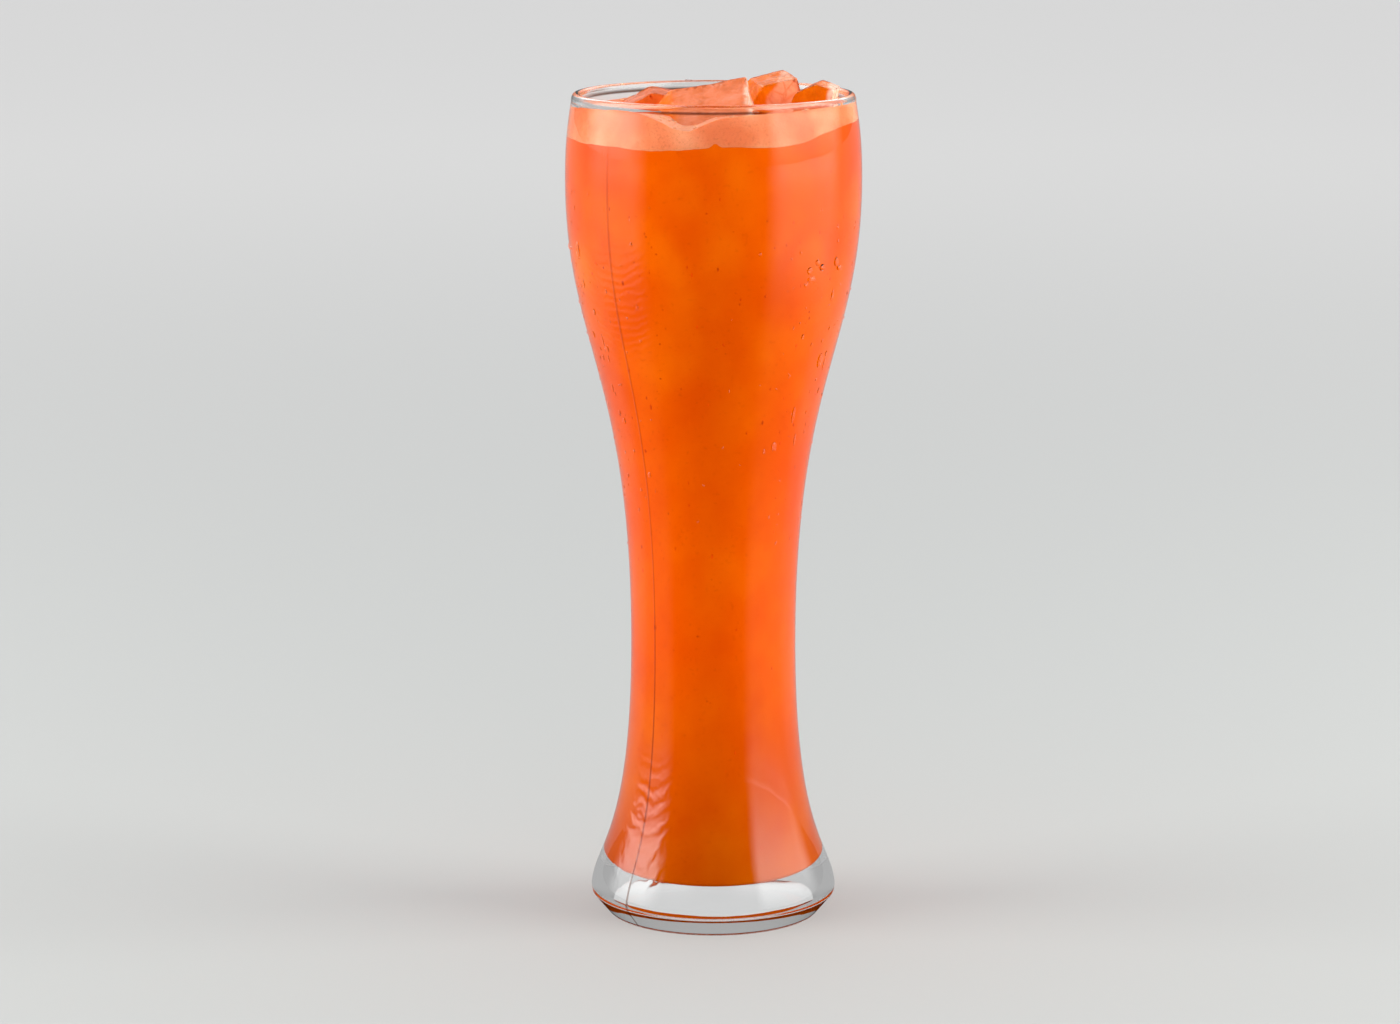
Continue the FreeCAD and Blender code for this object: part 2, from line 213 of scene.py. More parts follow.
def along(line, bearing):
    """A smooth closed line of bearing and level, read at some bearings in degrees."""
    deg = (np.asarray(bearing, float) + 180) % 360 - 180
    xs, ys = np.array(line, float).T      # repeated one turn before and one turn after
    xs = np.concatenate([xs[:-1] - 360, xs, xs[1:] + 360])
    ys = np.concatenate([ys[:-1], ys, ys[1:]])
    slope = np.gradient(ys, xs)
    k = np.clip(np.searchsorted(xs, deg, side="right") - 1, 0, len(xs) - 2)
    h = xs[k + 1] - xs[k]
    t = (deg - xs[k]) / h
    return ((2 * t**3 - 3 * t**2 + 1) * ys[k] + (t**3 - 2 * t**2 + t) * h * slope[k]
            + (3 * t**2 - 2 * t**3) * ys[k + 1] + (t**3 - t**2) * h * slope[k + 1])


def wave(x, y, z, size, seed=0.0):
    """Smooth noise between about -1 and 1, for arrays of coordinates in mm."""
    shape = np.broadcast(x, y, z).shape
    xs, ys, zs = (np.broadcast_to(v, shape).ravel() / size for v in (x, y, z))
    out = [noise.noise((a + seed, b - seed, c + 2 * seed)) for a, b, c in zip(xs, ys, zs)]
    return np.array(out).reshape(shape)


def new_object(name, data):
    """A new object in the scene: a mesh, a lamp or a camera."""
    ob = bpy.data.objects.new(name, data)
    bpy.context.scene.collection.objects.link(ob)
    return ob


def solid_of(name, rows):
    """A closed mesh through rows of points round the axis: rows[i][j] is a point in mm."""
    rows = [np.asarray(r, float) for r in rows]
    n = len(rows[0])
    verts = np.concatenate(rows) * MM
    faces = []
    for i in range(len(rows) - 1):
        a, b = i * n, (i + 1) * n
        for j in range(n):
            k = (j + 1) % n
            faces.append((a + j, a + k, b + k, b + j))
    verts = [tuple(v) for v in verts]
    verts.append(tuple(rows[0].mean(0) * MM))
    faces += [(len(verts) - 1, (j + 1) % n, j) for j in range(n)]
    base = (len(rows) - 1) * n
    verts.append(tuple(rows[-1].mean(0) * MM))
    faces += [(len(verts) - 1, base + j, base + (j + 1) % n) for j in range(n)]
    mesh = bpy.data.meshes.new(name)
    mesh.from_pydata(verts, [], faces)
    mesh.shade_smooth()
    mesh.validate()
    return outward(new_object(name, mesh))


def outward(ob):
    """Turns a closed mesh's faces outwards."""
    bm = bmesh.new()
    bm.from_mesh(ob.data)
    bmesh.ops.recalc_face_normals(bm, faces=bm.faces)
    bm.to_mesh(ob.data)
    bm.free()
    return ob


def ring(radius, level, bearings):
    """Points at a radius and level (numbers or arrays) for each bearing in degrees."""
    a = np.radians(bearings)
    r, z = radius + 0 * a, level + 0 * a
    return np.stack([r * np.sin(a), -r * np.cos(a), z], 1)


# ---------------------------------------------------------------- nodes
def add(nt, kind, **values):
    """A new node with its properties and sockets set by name, with _ for each space."""
    node = nt.nodes.new("ShaderNode" + kind)
    for key, value in values.items():
        if hasattr(node, key):
            setattr(node, key, value)
        else:
            tune(node, **{key: value})
    return node


def tune(node, **values):
    """Set a node's sockets by name, with _ for each space."""
    for key, value in values.items():
        node.inputs[key.replace("_", " ")].default_value = value


def nodes_of(name):
    """A new material: itself, its node tree, its shader and its output."""
    mat = bpy.data.materials.new(name)
    mat.use_nodes = True
    nt = mat.node_tree
    nt.nodes.clear()
    out = add(nt, "OutputMaterial")
    bsdf = add(nt, "BsdfPrincipled")
    nt.links.new(bsdf.outputs[0], out.inputs[0])
    return mat, nt, bsdf, out


def coords(nt, scale=(1, 1, 1), place=(0, 0, 0)):
    """Object coordinates in metres, times a scale and then moved."""
    mapping = add(nt, "Mapping", Scale=scale, Location=place)
    nt.links.new(add(nt, "TexCoord").outputs["Object"], mapping.inputs[0])
    return mapping.outputs[0]


def split_of(nt, vector):
    """The x, y and z of a vector."""
    node = add(nt, "SeparateXYZ")
    nt.links.new(vector, node.inputs[0])
    return tuple(node.outputs)


def noise_of(nt, where, scale, detail=2.0, rough=0.5):
    node = add(nt, "TexNoise", Scale=scale, Detail=detail, Roughness=rough)
    nt.links.new(where, node.inputs["Vector"])
    return node.outputs["Fac"]


def ramp_of(nt, source, *stops):
    """A colour ramp: stops are (position, (r, g, b)) in linear light."""
    node = add(nt, "ValToRGB")
    el = node.color_ramp.elements
    while len(el) > 1:
        el.remove(el[0])
    el[0].position, el[0].color = stops[0][0], (*stops[0][1], 1)
    for at, colour in stops[1:]:
        el.new(at).color = (*colour, 1)
    nt.links.new(source, node.inputs[0])
    return node.outputs[0]


def mix_of(nt, factor, a, b, mode="MIX"):
    """Two colours mixed; the factor and each colour may be plain or a socket to link."""
    node = add(nt, "Mix", data_type="RGBA", blend_type=mode)
    for socket, value in zip((node.inputs[0], node.inputs[6], node.inputs[7]), (factor, a, b)):
        if isinstance(value, bpy.types.NodeSocket):
            nt.links.new(value, socket)
        elif isinstance(value, tuple):
            socket.default_value = (*value, 1)
        else:
            socket.default_value = value
    return node.outputs[2]


def mix_shaders(nt, factor, first, second):
    """The first node's shader where the factor is 0, and the second's where it is 1."""
    node = add(nt, "MixShader")
    nt.links.new(factor, node.inputs[0])
    nt.links.new(first.outputs[0], node.inputs[1])
    nt.links.new(second.outputs[0], node.inputs[2])
    return node


def maths(nt):
    """Two helpers for a node tree: a math node, and a smooth step from 0 to 1."""
    def calc(operation, *values):
        node = add(nt, "Math", operation=operation)
        for i, v in enumerate(values):
            if isinstance(v, (int, float)):
                node.inputs[i].default_value = v
            else:
                nt.links.new(v, node.inputs[i])
        return node.outputs[0]

    def step(value, start, end):
        node = add(nt, "MapRange", interpolation_type="SMOOTHSTEP", From_Min=start, From_Max=end)
        nt.links.new(value, node.inputs["Value"])
        return node.outputs[0]

    return calc, step


def bearing_of(calc, x, y):
    """The bearing of a point or direction in degrees."""
    return calc("DEGREES", calc("ARCTAN2", x, calc("MULTIPLY", y, -1.0)))


def distance_of(calc, x, y):
    """The distance from the glass's axis."""
    return calc("SQRT", calc("ADD", calc("MULTIPLY", x, x), calc("MULTIPLY", y, y)))


def bump_of(nt, height, strength, distance):
    node = add(nt, "Bump", Strength=strength, Distance=distance)
    nt.links.new(height, node.inputs["Height"])
    return node.outputs[0]


# ---------------------------------------------------------------- materials
def clear_glass(name, ior, tint):
    """Clear glass or water that rays from lamps pass straight through."""
    mat, nt, bsdf, out = nodes_of(name)
    tune(bsdf, Base_Color=(*tint, 1), Roughness=0.0, IOR=ior, Transmission_Weight=1.0)
    calc, _ = maths(nt)
    path = add(nt, "LightPath")
    straight = calc("MAXIMUM", path.outputs["Is Shadow Ray"], path.outputs["Is Diffuse Ray"])
    through = add(nt, "BsdfTransparent", Color=(0.97, 0.97, 0.97, 1))
    nt.links.new(mix_shaders(nt, straight, bsdf, through).outputs[0], out.inputs[0])
    return mat, nt, bsdf


def glass_material():
    """Clear glass with soft waves, painted shade along two mould seams and under the lip's bead,
    and streaks beside the seams.
    """
    mat, nt, bsdf = clear_glass("clear_glass", 1.5, GLASS_TINT)
    calc, step = maths(nt)
    soft = noise_of(nt, coords(nt, (1, 1, 0.35)), 130, 1.5)
    x, y, level = split_of(nt, coords(nt))
    bearing = bearing_of(calc, x, y)

    # levels here are in metres; a painted dark line along each seam stands in for the shade that
    # the seam's ridge shows through the glass, darkest low down and fading out under the lip
    away = calc("MINIMUM", *(calc("ABSOLUTE", calc("SUBTRACT", bearing, seam))
                             for seam in SEAM_BEARINGS))
    line = calc("SUBTRACT", 1.0, step(away, 0.25, 0.95))
    dark = calc("ADD", calc("MULTIPLY", step(level, 0.110, 0.060), 0.4),
                calc("MULTIPLY", step(level, 0.226, 0.205), 0.6))
    tint = mix_of(nt, calc("MULTIPLY", line, dark), GLASS_TINT, SEAM_SHADE_TINT)

    # painted shade: the lower edge of the lip's bead is tinted dark at the front and at the back,
    # where the bead shows a dark line through refraction
    off = calc("ABSOLUTE", calc("SUBTRACT", level, 0.2298))
    edge = calc("SUBTRACT", 1.0, step(off, 0.00015, 0.0005))
    turned = calc("ABSOLUTE", calc("ADD", bearing, 1.5))
    lip_shade_shown = calc("MAXIMUM", step(turned, 26, 19), step(turned, 100, 118))
    nt.links.new(mix_of(nt, calc("MULTIPLY", edge, lip_shade_shown), tint, LIP_SHADE_TINT),
                 bsdf.inputs["Base Color"])

    # streaks beside the seams, above the foot and in the bowl
    feather = add(nt, "TexWave", wave_type="BANDS", bands_direction="DIAGONAL", Scale=250,
                  Distortion=6.0, Detail=2.0, Detail_Scale=0.7)
    nt.links.new(coords(nt, (-1, -1, 0.8)), feather.inputs["Vector"])
    near = calc("SUBTRACT", 1.0, step(away, 12, 20))
    low = calc("MULTIPLY", step(level, 0.010, 0.018), step(level, 0.052, 0.036))
    high = calc("MULTIPLY", step(level, 0.158, 0.168), step(level, 0.200, 0.186))
    share = calc("MULTIPLY", near, calc("ADD", low, calc("MULTIPLY", high, 0.6)))
    ripple = calc("MULTIPLY", feather.outputs["Fac"], share)
    relief = calc("ADD", calc("MULTIPLY", soft, 0.07), calc("MULTIPLY", ripple, 0.09))
    nt.links.new(bump_of(nt, relief, 1.0, 0.001), bsdf.inputs["Normal"])
    return mat


def water_material():
    return clear_glass("water", 1.33, WATER_TINT)[0]


def juice_material():
    """Cloudy juice: soft clouds, fine grain, a hint of sunk ice above, and painted shade that
    darkens it towards the bottom.
    """
    mat, nt, bsdf, _ = nodes_of("carrot_juice")
    cloud = noise_of(nt, coords(nt, (1, 1, 0.8)), 42, 3.0, 0.55)
    body = ramp_of(nt, cloud, (0.30, (0.705, 0.064, 0.0002)), (0.5, (0.755, 0.083, 0.0003)),
                   (0.70, (0.81, 0.110, 0.0006)))
    sunk = add(nt, "TexVoronoi", feature="SMOOTH_F1", Scale=62, Smoothness=0.7)
    nt.links.new(coords(nt, (1, 1, 0.85), (0.3, 0.1, 0.2)), sunk.inputs["Vector"])
    hints = ramp_of(nt, sunk.outputs["Distance"], (0.22, (1.10, 1.45, 3.0)), (0.42, (1, 1, 1)),
                    (0.62, (1, 1, 1)), (0.80, (0.94, 0.86, 1)))
    calc, _ = maths(nt)
    level = calc("DIVIDE", split_of(nt, coords(nt))[2], HEIGHT * MM)
    high = ramp_of(nt, level, (0.60, (0, 0, 0)), (0.80, (0.55, 0.55, 0.55)))
    body = mix_of(nt, high, body, mix_of(nt, 1.0, body, hints, "MULTIPLY"))
    grain = noise_of(nt, coords(nt), 900, 3.0, 0.6)
    flecks = ramp_of(nt, grain, (0.28, (0.82, 0.74, 0.7)), (0.40, (1, 1, 1)), (0.64, (1, 1, 1)),
                     (0.76, (1.06, 1.2, 1.5)))
    body = mix_of(nt, 0.6, body, flecks, "MULTIPLY")
    # painted shade: the juice is darkened towards the bottom of the glass
    deep = ramp_of(nt, level, (0.05, (0.64, 0.80, 0.85)), (0.16, (0.78, 0.90, 1.0)),
                   (0.34, (1, 1, 1)))
    nt.links.new(mix_of(nt, 1.0, body, deep, "MULTIPLY"), bsdf.inputs["Base Color"])
    tune(bsdf, Roughness=0.6, Specular_IOR_Level=0.0)
    return mat


def foam_material():
    """Fine pale froth: broad changes of tone, and pores."""
    mat, nt, bsdf, _ = nodes_of("froth")
    broad = noise_of(nt, coords(nt), 90, 2.0)
    colour = ramp_of(nt, broad, (0.32, (0.80, 0.175, 0.055)), (0.5, (0.86, 0.235, 0.09)),
                     (0.7, (0.92, 0.33, 0.16)))
    fine = noise_of(nt, coords(nt), 1500, 3.0, 0.6)
    pores = ramp_of(nt, fine, (0.28, (0.72, 0.62, 0.5)), (0.45, (1, 1, 1)),
                    (0.7, (1.04, 1.1, 1.15)))
    nt.links.new(mix_of(nt, 0.6, colour, pores, "MULTIPLY"), bsdf.inputs["Base Color"])
    tune(bsdf, Roughness=0.42, Specular_IOR_Level=0.35, Subsurface_Weight=0.35,
         Subsurface_Radius=(1.0, 0.45, 0.2), Subsurface_Scale=0.003)
    nt.links.new(bump_of(nt, fine, 0.5, 0.0003), bsdf.inputs["Normal"])
    return mat


def ice_material(name, base, zones, seed):
    """Wet ice stained by juice: blotches, cracks, and zones of other colours, some of which are
    painted highlights.
    """
    mat, nt, bsdf, _ = nodes_of(name)
    calc, step = maths(nt)
    plain = coords(nt)
    where = coords(nt, (1, 1, 1), (seed, -seed, 2 * seed))
    veil = noise_of(nt, where, 110, 4.0, 0.62)
    wander = calc("MULTIPLY", calc("SUBTRACT", veil, 0.5), 0.004)
    blotch = ramp_of(nt, noise_of(nt, where, 240, 4.0, 0.6), (0.34, (0.82, 0.72, 0.55)),
                     (0.5, (1, 1, 1)), (0.68, (1.08, 1.22, 1.5)))
    tone = mix_of(nt, 0.8, base, blotch, "MULTIPLY")
    crack = add(nt, "TexVoronoi", feature="DISTANCE_TO_EDGE", Scale=230)
    nt.links.new(coords(nt, (1, 1, 0.7), (seed, 0.1, seed)), crack.inputs["Vector"])
    veins = ramp_of(nt, crack.outputs[0], (0.0, (0.92, 0.62, 0.45)), (0.07, (1, 1, 1)))
    for colour, planes in zones:
        share = 0.92
        for way, start, end in planes:
            dot = add(nt, "VectorMath", operation="DOT_PRODUCT")
            dot.inputs[1].default_value = Vector(way).normalized()
            nt.links.new(plain, dot.inputs[0])
            here = step(calc("ADD", dot.outputs["Value"], wander), start * MM, end * MM)
            share = calc("MULTIPLY", here, share)
        tone = mix_of(nt, share, tone, mix_of(nt, 0.8, colour, veins, "MULTIPLY"))
    nt.links.new(tone, bsdf.inputs["Base Color"])
    tune(bsdf, Roughness=0.07, IOR=1.31, Specular_IOR_Level=0.1, Subsurface_Weight=0.12,
         Subsurface_Radius=(1.0, 0.4, 0.15), Subsurface_Scale=0.001)
    nt.links.new(bump_of(nt, veil, 0.6, 0.002), bsdf.inputs["Normal"])
    return mat


def fleck_material(name, colour, rough, shine):
    """Flecks or bubbles that differ a little in tone."""
    mat, nt, bsdf, _ = nodes_of(name)
    tone = noise_of(nt, coords(nt), 400, 1.0)
    low = tuple(c * 0.75 for c in colour)
    high = tuple(min(1.0, c * 1.2) for c in colour)
    nt.links.new(ramp_of(nt, tone, (0.35, low), (0.65, high)), bsdf.inputs["Base Color"])
    tune(bsdf, Roughness=rough, Specular_IOR_Level=shine)
    return mat


def dress(ob, material, slot, *nodes):
    """Material and body of a piece, and the CAD nodes that it stands for; the slot is not used."""
    ob.data.materials.append(material)
    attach(ob, "root")
    if nodes:
        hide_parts(*nodes)
    return ob


# ---------------------------------------------------------------- the glass
def glass_bearings():
    """Evenly spread bearings, with close ones across each mould seam."""
    even = list(np.linspace(-180, 180, 240, endpoint=False))
    near = (-1.0, -0.6, -0.35, -0.15, 0.0, 0.15, 0.35, 0.6, 1.0)
    keep = [b for b in even if all(abs(b - s) > 1.3 for s in SEAM_BEARINGS)]
    return np.array(sorted(keep + [s + d for s in SEAM_BEARINGS for d in near]))


def beaded(radius, level):
    """The bead of the rim: both faces of the wall swell a little just under the lip."""
    swell = math.exp(-(((level - BEAD_LEVEL) / BEAD_HEIGHT) ** 2))
    return radius + (BEAD_OUT if radius > LIP_CENTRE[0] else -BEAD_IN) * swell


def make_glass():
    """The glass in one piece: from the hollow under the foot up the outside and down the inside."""
    bearings = glass_bearings()
    lip = arc(LIP_CENTRE, LIP_RADIUS, 0, 180, 16)
    rows = []
    for radius, level in OUTER[1:]:
        r = beaded(radius, level) + 0 * bearings
        if level > SEAM_FOOT:
            fade = min(max((SEAM_TOP - level) / SEAM_FADE, 0.0), 1.0)
            for seam in SEAM_BEARINGS:
                off = np.radians(bearings - seam) * radius
                r = r + fade * SEAM_RISE * np.exp(-(off / SEAM_WIDTH) ** 2)
        rows.append(ring(r, level, bearings))
    for radius, level in chain(lip, INNER)[1:-1]:
        rows.append(ring(beaded(radius, level) if level < BEAD_TOP else radius, level, bearings))
    return solid_of("glass_body", rows)


# ---------------------------------------------------------------- what fills it
BEARINGS = np.linspace(-180, 180, 360, endpoint=False)
SHARES = np.linspace(1, 0, 40, endpoint=False)[1::3]     # of the way from the axis to the wall
NEAR_WALL = [0.9985, 0.995]


def juice_edge():
    """The juice's highest level at the wall for each bearing: uneven, with one small peak."""
    a = np.radians(BEARINGS)
    level = along(JUICE_LINE, BEARINGS)
    level = level + 0.25 * wave(40 * np.sin(a), 40 * np.cos(a), 0 * a, 7.0, 3.1)
    level = level + 0.12 * wave(40 * np.sin(a), 40 * np.cos(a), 0 * a, 1.6, 8.4)
    return level + 1.3 * np.exp(-(((BEARINGS - 0.5) / 1.7) ** 2))


def froth_edge():
    """The froth's highest level at the wall for each bearing."""
    a = np.radians(BEARINGS)
    level = along(FROTH_LINE, BEARINGS)
    return level + 0.22 * wave(40 * np.sin(a), 40 * np.cos(a), 0 * a, 4.0, 5.7)


def across(edge, middle, share):
    """Level of a surface at a share of the way to the wall, from its edge and its middle."""
    return middle + (edge - middle) * share**2


def make_juice():
    """The juice: its floor, the corner, the wall and the top under the froth."""
    edge = juice_edge()
    rows = []
    for radius in (4.0, 9.0, 14.0, 19.0):
        rows.append(ring(radius, FLOOR_LEVEL - INTO_WALL, BEARINGS))
    for radius, level in arc(CORNER_CENTRE, CORNER_RADIUS + INTO_WALL, -90, 0, 10):
        rows.append(ring(radius, level, BEARINGS))
    for t in np.concatenate([np.linspace(0, 1, 150)[1:-1], [0.9985, 0.99975, 1]]):
        level = CORNER_CENTRE[1] + (edge - CORNER_CENTRE[1]) * t
        rows.append(ring(inner_radius(level) + INTO_WALL, level, BEARINGS))
    middle = edge.mean()
    for share in np.concatenate([NEAR_WALL, SHARES]):
        rows.append(ring((inner_radius(edge) + INTO_WALL) * share, across(edge, middle, share),
                         BEARINGS))
    return solid_of("juice_fill", rows)


def froth_height(x, y, share, edge):
    """Top of the froth: from its edge to its middle, with swells, and higher against the wall."""
    level = across(edge, FROTH_MIDDLE, share)
    swell = 0.55 * wave(x, y, 0 * x, 11.0, 1.3) + 0.28 * wave(x, y, 0 * x, 4.2, 7.7)
    fine = 0.10 * wave(x, y, 0 * x, 1.6, 4.4)
    inside = np.clip((1 - share) / 0.10, 0, 1)
    return level + (swell + fine) * inside - 0.5 * inside


def make_foam():
    """The froth: its underside, the wall and its uneven top."""
    low, high = juice_edge(), froth_edge()
    rows = []
    middle = low.mean()
    for share in np.concatenate([NEAR_WALL, SHARES])[::-1]:
        rows.append(ring((inner_radius(low) + INTO_WALL) * share, across(low, middle, share),
                         BEARINGS))
    for t in np.concatenate([[0, 0.005, 0.02], np.linspace(0, 1, 14)[1:]]):
        level = low + (high - low) * t
        rows.append(ring(inner_radius(level) + INTO_WALL, level, BEARINGS))
    wall = inner_radius(high) + INTO_WALL
    a = np.radians(BEARINGS)
    shares = 1 - np.concatenate([[0.006, 0.014, 0.026, 0.042], np.linspace(0.06, 0.985, 60)])
    for share in shares:
        x, y = wall * share * np.sin(a), -wall * share * np.cos(a)
        rows.append(ring(wall * share, froth_height(x, y, share, high), BEARINGS))
    return solid_of("foam_top", rows)


# ---------------------------------------------------------------- ice
def make_lump(name, seed):
    """A lump of ice: a drafted block with one broad facet, melted round and pitted."""
    width, depth, rise, facet, x, y, sink, yaw, pitch, roll = LUMPS[name]
    shrink = rise * math.tan(ICE_TAPER)
    w, d, tw, td = width / 2, depth / 2, width / 2 - shrink, depth / 2 - shrink
    corners = [(sx * w, sy * d, 0) for sx in (-1, 1) for sy in (-1, 1)]
    corners += [(tw, -td, rise), (tw, td, rise), (-tw + facet, -td, rise), (-tw + facet, td, rise)]
    side = w - (w - tw) * (rise - facet) / rise
    deep = d - (d - td) * (rise - facet) / rise
    corners += [(-side, -deep, rise - facet), (-side, deep, rise - facet)]
    bm = bmesh.new()
    for c in corners:
        bm.verts.new(c)
    bmesh.ops.convex_hull(bm, input=bm.verts)
    bmesh.ops.dissolve_limit(bm, angle_limit=math.radians(2), verts=bm.verts, edges=bm.edges)
    bmesh.ops.bevel(bm, geom=list(bm.edges), offset=ICE_BEVEL, segments=3, profile=0.6,
                    affect="EDGES", clamp_overlap=True)
    bmesh.ops.triangulate(bm, faces=bm.faces)
    for _ in range(4):
        long = [e for e in bm.edges if e.calc_length() > ICE_EDGE]
        if not long:
            break
        bmesh.ops.subdivide_edges(bm, edges=long, cuts=1, use_grid_fill=True)
        bmesh.ops.triangulate(bm, faces=bm.faces)
    bm.normal_update()
    for v in bm.verts:
        p = v.co
        broad = noise.noise((p.x / 6 + seed, p.y / 6, p.z / 6))
        fine = noise.noise((p.x / 2.1, p.y / 2.1 + seed, p.z / 2.1))
        v.co += v.normal * (ICE_SWELL * broad + ICE_PITS * fine - ICE_MELT)
    turn = Euler((math.radians(roll), math.radians(pitch), math.radians(yaw)), "XYZ").to_matrix()
    place = Matrix.Translation((x, y, HEIGHT - sink)) @ turn.to_4x4()
    bm.transform(Matrix.Scale(MM, 4) @ place)
    mesh = bpy.data.meshes.new(name)
    bmesh.ops.recalc_face_normals(bm, faces=bm.faces)
    bm.to_mesh(mesh)
    bm.free()
    mesh.shade_smooth()
    return new_object(name.replace("ice", "ice_lump"), mesh)


# ---------------------------------------------------------------- scattered things
def side_point(bearing, level, radius_at):
    """A point on a wall with its outward direction, its upward one and the one across."""
    a = math.radians(bearing)
    r = float(radius_at(level))
    slope = float(radius_at(level + 0.5) - radius_at(level - 0.5))
    out = Vector((math.sin(a), -math.cos(a), -slope)).normalized()
    aside = Vector((math.cos(a), math.sin(a), 0))
    place = Vector((r * math.sin(a), -r * math.cos(a), level))
    return place, out, out.cross(aside) * -1, aside


def blobs(name, rng, entries, segments, rings):
    """One mesh of domes. An entry is a place and the directions out, up and aside, then the dome's
    half width, half height and rise, and how deep it is sunk."""
    verts, faces = [], []
    for place, out, up, aside, wide, tall, rise, sunk in entries:
        base = len(verts)
        skew = rng.uniform(-0.18, 0.18)
        bumps = [1 + rng.uniform(-0.12, 0.12) for _ in range(segments)]
        bumps = [(bumps[i - 1] + 2 * bumps[i] + bumps[(i + 1) % segments]) / 4
                 for i in range(segments)]
        verts.append(place + out * rise)
        for i in range(1, rings + 1):
            lean = math.pi / 2 * i / rings
            for j in range(segments):
                a = 2 * math.pi * j / segments
                k = math.sin(lean) * bumps[j]
                u, v = wide * k * math.cos(a), tall * k * math.sin(a) + skew * wide * math.sin(a)
                h = rise * math.cos(lean)
                verts.append(place + aside * u + up * v + out * h)
        for j in range(segments):
            a = 2 * math.pi * j / segments
            u, v = wide * bumps[j] * math.cos(a), tall * bumps[j] * math.sin(a)
            verts.append(place + aside * u * 0.9 + up * v * 0.9 - out * sunk)
        verts.append(place - out * sunk)
        for j in range(segments):
            k = (j + 1) % segments
            faces.append((base, base + 1 + j, base + 1 + k))
            for i in range(rings):
                a, b = base + 1 + i * segments, base + 1 + (i + 1) * segments
                faces.append((a + j, b + j, b + k, a + k))
            last = base + 1 + rings * segments
            faces.append((last + k, last + j, len(verts) - 1))
    mesh = bpy.data.meshes.new(name)
    mesh.from_pydata([tuple(v * MM) for v in verts], [], faces)
    mesh.shade_smooth()
    mesh.validate()
    return outward(new_object(name, mesh))


def make_drops():
    """Drops of water on the outside, more of them at the upper left and right."""
    rng = random.Random(41)
    entries = []

    def drop(bearing, level, wide, tall):
        entries.append((*side_point(bearing, level, outer_radius), wide, tall, 0.5 * wide,
                        DROP_SUNK))

    for numbers in LARGE_DROPS:
        drop(*numbers)
    for _ in range(DROPS):
        bearing = rng.choice((rng.gauss(-66, 16), rng.gauss(58, 18), rng.uniform(-180, 180)))
        level = rng.triangular(95, 214, 175)
        size = rng.triangular(0.14, 0.6, 0.2)
        # the top of the glass stays dry at the front, at the back and at both sides
        if abs((bearing + 45) % 90 - 45) < DRY_TURN and level > DRY_LEVEL:
            continue
        drop(bearing, level, size, size * rng.uniform(1.0, 1.7))
    # one more on top of the back rim
    a, radius = math.radians(RIM_DROP_BEARING), LIP_CENTRE[0]
    entries.append((Vector((radius * math.sin(a), -radius * math.cos(a), HEIGHT - 0.1)),
                    Vector((0, 0, 1)), Vector((math.sin(a), -math.cos(a), 0)),
                    Vector((math.cos(a), math.sin(a), 0)), *RIM_DROP_SIZE, DROP_SUNK))
    return blobs("water_drops", rng, entries, 14, 5)


def make_pulp():
    """Flecks of pulp against the wall."""
    rng = random.Random(7)
    entries = []
    for _ in range(FLECKS):
        bearing, level = rng.uniform(-180, 180), rng.triangular(20, 219, 190)
        place, out, up, aside = side_point(bearing, level, inner_radius)
        size = rng.triangular(0.10, 0.45, 0.16)
        entries.append((place + out * (INTO_WALL - 0.02), out, up, aside, size,
                        size * rng.uniform(0.6, 2.2), FLECK_RISE, FLECK_SUNK))
    return blobs("pulp_flecks", rng, entries, 8, 2)


def make_bubbles(foam):
    """Bubbles on the froth's top: larger ones towards the wall, and none that would reach it."""
    rng = random.Random(23)
    entries = []
    verts = foam.data.vertices
    tops = [v.index for v in verts if v.normal.z > 0.75 and v.co.z > BUBBLES_ABOVE]
    rng.shuffle(tops)
    for i in tops[:BUBBLES]:
        place = Vector(verts[i].co)
        reach = math.hypot(place.x, place.y) / MM
        if reach > BUBBLES_WITHIN:
            continue
        size = rng.triangular(0.15, 0.8, 0.22) * (1.0 if reach > 30 else 0.8)
        entries.append((place / MM, Vector((0, 0, 1)), Vector((0, 1, 0)), Vector((1, 0, 0)), size,
                        size, size * 0.7, 0.1))
    return blobs("froth_bubbles", rng, entries, 12, 4)


# ---------------------------------------------------------------- the room
def disc(name, radius):
    """A flat disc round the glass, for the floor."""
    mesh = bpy.data.meshes.new(name)
    bm = bmesh.new()
    bmesh.ops.create_circle(bm, cap_ends=True, segments=96, radius=radius)
    bm.to_mesh(mesh)
    bm.free()
    return new_object(name, mesh)


def make_floor():
    """A plain pale floor, a little darker near the glass."""
    ob = disc("floor", FLOOR_RADIUS)
    mat, nt, bsdf, _ = nodes_of("pale_floor")
    calc, step = maths(nt)
    x, y, _ = split_of(nt, coords(nt))
    far = distance_of(calc, x, y)
    nt.links.new(mix_of(nt, step(far, 0.1, 2.2), FLOOR_NEAR, FLOOR_FAR), bsdf.inputs["Base Color"])
    tune(bsdf, Roughness=0.7, Specular_IOR_Level=0.1)
    ob.data.materials.append(mat)


